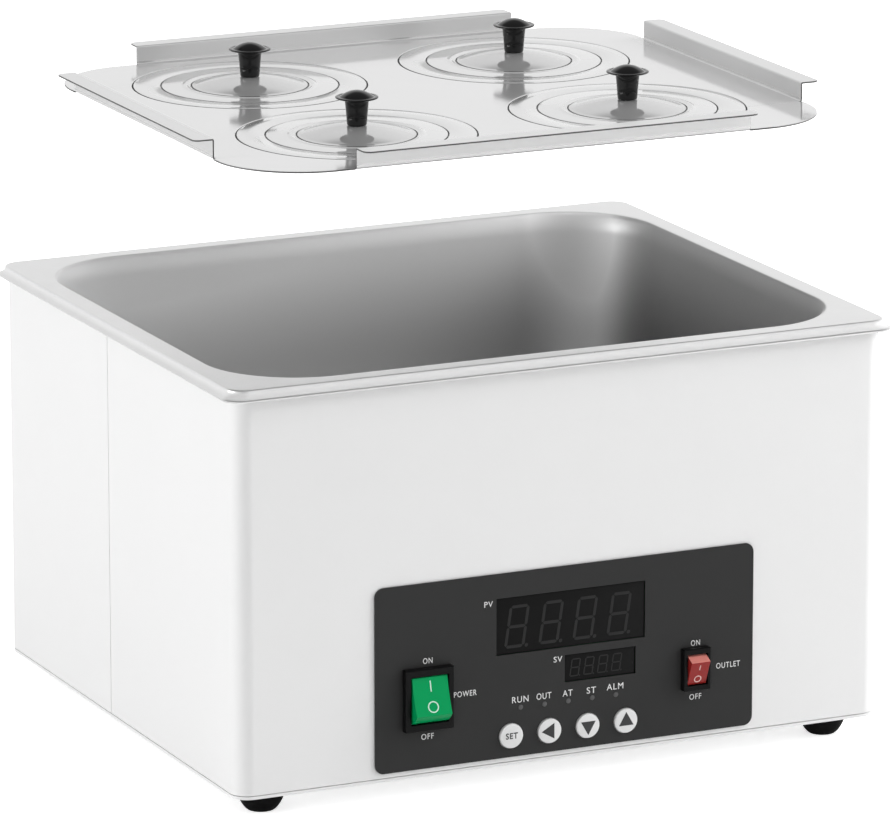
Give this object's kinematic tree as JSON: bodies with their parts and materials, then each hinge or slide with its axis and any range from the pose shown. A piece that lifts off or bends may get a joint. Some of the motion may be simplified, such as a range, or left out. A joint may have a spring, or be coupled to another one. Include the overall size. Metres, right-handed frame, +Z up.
{
  "type": "laboratory water bath",
  "caption": "Box-shaped laboratory water bath with an open steel tank, a digital control panel with rocker switches, and a lift-off steel lid of nested rings and knobbed caps.",
  "frame": {"origin": "middle of the object's bounding box in X and Y, on the floor that its feet stand on", "axes": "+Z up, -Y out of the control panel, +X to the right of someone who faces the panel"},
  "size_m": [0.3438, 0.3166, 0.3234],
  "materials": {
    "paint": "white powder coat with a fine texture",
    "tank_steel": "satin",
    "lid_steel": "polished",
    "black_plastic": "semi-gloss black",
    "foot_rubber": "matt",
    "panel_film": "charcoal film with a fine texture",
    "display_window": "dark, unlit",
    "key_white": "white",
    "rocker_green": "translucent green, unlit",
    "rocker_red": "translucent red, unlit",
    "lamp_lens": "clear lens, unlit",
    "board": "coated circuit board",
    "wool": "mineral wool",
    "brass": "machined",
    "zinc": "zinc plated",
    "heater_steel": "drawn tube"
  },
  "bodies": {
    "bath": {"housing_front": "paint", "housing_rear": "paint", "base_plate": "paint", "foot_front_left": "foot_rubber", "foot_screw_front_left": "zinc", "foot_front_right": "foot_rubber", "foot_screw_front_right": "zinc", "foot_rear_left": "foot_rubber", "foot_screw_rear_left": "zinc", "foot_rear_right": "foot_rubber", "foot_screw_rear_right": "zinc", "tank": "tank_steel", "tank_insulation": "wool", "heating_element": "heater_steel", "temperature_probe": "brass", "drain_tail": "tank_steel", "solenoid_valve": "brass", "drain_spigot": "tank_steel", "mains_inlet": "black_plastic", "relay_module": "black_plastic", "control_panel": "panel_film", "control_board": "board", "display_pv": "display_window", "display_sv": "display_window", "power_switch": "black_plastic", "outlet_switch": "black_plastic", "lamp_run": "lamp_lens", "lamp_output": "lamp_lens", "lamp_tuning": "lamp_lens", "lamp_status": "lamp_lens", "lamp_alarm": "lamp_lens"},
    "key_set": {"key_set": "key_white"},
    "key_left": {"key_left": "key_white"},
    "key_down": {"key_down": "key_white"},
    "key_up": {"key_up": "key_white"},
    "power_rocker": {"power_rocker": "rocker_green"},
    "outlet_rocker": {"outlet_rocker": "rocker_red"},
    "lid": {"lid_plate": "lid_steel"},
    "outer_ring_front_left": {"outer_ring_front_left": "lid_steel"},
    "inner_ring_front_left": {"inner_ring_front_left": "lid_steel"},
    "cap_front_left": {"cap_front_left": "lid_steel", "knob_front_left": "black_plastic", "knob_screw_front_left": "zinc"},
    "outer_ring_front_right": {"outer_ring_front_right": "lid_steel"},
    "inner_ring_front_right": {"inner_ring_front_right": "lid_steel"},
    "cap_front_right": {"cap_front_right": "lid_steel", "knob_front_right": "black_plastic", "knob_screw_front_right": "zinc"},
    "outer_ring_rear_left": {"outer_ring_rear_left": "lid_steel"},
    "inner_ring_rear_left": {"inner_ring_rear_left": "lid_steel"},
    "cap_rear_left": {"cap_rear_left": "lid_steel", "knob_rear_left": "black_plastic", "knob_screw_rear_left": "zinc"},
    "outer_ring_rear_right": {"outer_ring_rear_right": "lid_steel"},
    "inner_ring_rear_right": {"inner_ring_rear_right": "lid_steel"},
    "cap_rear_right": {"cap_rear_right": "lid_steel", "knob_rear_right": "black_plastic", "knob_screw_rear_right": "zinc"}
  },
  "joints": [
    {"name": "lid_lift", "type": "slide", "parent": "bath", "child": "lid", "axis": [0, 0, 1], "range_m": [-0.1034, 0.05]},
    {"name": "outer_ring_front_left_lift", "type": "slide", "parent": "lid", "child": "outer_ring_front_left", "axis": [0, 0, 1], "range_m": [0, 0.04]},
    {"name": "inner_ring_front_left_lift", "type": "slide", "parent": "outer_ring_front_left", "child": "inner_ring_front_left", "axis": [0, 0, 1], "range_m": [0, 0.04]},
    {"name": "cap_front_left_lift", "type": "slide", "parent": "inner_ring_front_left", "child": "cap_front_left", "axis": [0, 0, 1], "range_m": [0, 0.04]},
    {"name": "outer_ring_front_right_lift", "type": "slide", "parent": "lid", "child": "outer_ring_front_right", "axis": [0, 0, 1], "range_m": [0, 0.04]},
    {"name": "inner_ring_front_right_lift", "type": "slide", "parent": "outer_ring_front_right", "child": "inner_ring_front_right", "axis": [0, 0, 1], "range_m": [0, 0.04]},
    {"name": "cap_front_right_lift", "type": "slide", "parent": "inner_ring_front_right", "child": "cap_front_right", "axis": [0, 0, 1], "range_m": [0, 0.04]},
    {"name": "outer_ring_rear_left_lift", "type": "slide", "parent": "lid", "child": "outer_ring_rear_left", "axis": [0, 0, 1], "range_m": [0, 0.04]},
    {"name": "inner_ring_rear_left_lift", "type": "slide", "parent": "outer_ring_rear_left", "child": "inner_ring_rear_left", "axis": [0, 0, 1], "range_m": [0, 0.04]},
    {"name": "cap_rear_left_lift", "type": "slide", "parent": "inner_ring_rear_left", "child": "cap_rear_left", "axis": [0, 0, 1], "range_m": [0, 0.04]},
    {"name": "outer_ring_rear_right_lift", "type": "slide", "parent": "lid", "child": "outer_ring_rear_right", "axis": [0, 0, 1], "range_m": [0, 0.04]},
    {"name": "inner_ring_rear_right_lift", "type": "slide", "parent": "outer_ring_rear_right", "child": "inner_ring_rear_right", "axis": [0, 0, 1], "range_m": [0, 0.04]},
    {"name": "cap_rear_right_lift", "type": "slide", "parent": "inner_ring_rear_right", "child": "cap_rear_right", "axis": [0, 0, 1], "range_m": [0, 0.04]},
    {"name": "power_rocker_hinge", "type": "hinge", "parent": "bath", "child": "power_rocker", "pos_m": [-0.0719, -0.14825, 0.0498], "axis": [1, 0, 0], "range_deg": [0, 37.4]},
    {"name": "outlet_rocker_hinge", "type": "hinge", "parent": "bath", "child": "outlet_rocker", "pos_m": [0.0672, -0.15105, 0.0473], "axis": [1, 0, 0], "range_deg": [-44.6, 0]},
    {"name": "key_set_press", "type": "slide", "parent": "bath", "child": "key_set", "axis": [0, 1, 0], "range_m": [0, 0.0008], "stiffness_N_per_m": 400, "springref_m": -0.0005},
    {"name": "key_left_press", "type": "slide", "parent": "bath", "child": "key_left", "axis": [0, 1, 0], "range_m": [0, 0.0008], "stiffness_N_per_m": 400, "springref_m": -0.0005},
    {"name": "key_down_press", "type": "slide", "parent": "bath", "child": "key_down", "axis": [0, 1, 0], "range_m": [0, 0.0008], "stiffness_N_per_m": 400, "springref_m": -0.0005},
    {"name": "key_up_press", "type": "slide", "parent": "bath", "child": "key_up", "axis": [0, 1, 0], "range_m": [0, 0.0008], "stiffness_N_per_m": 400, "springref_m": -0.0005}
  ]
}
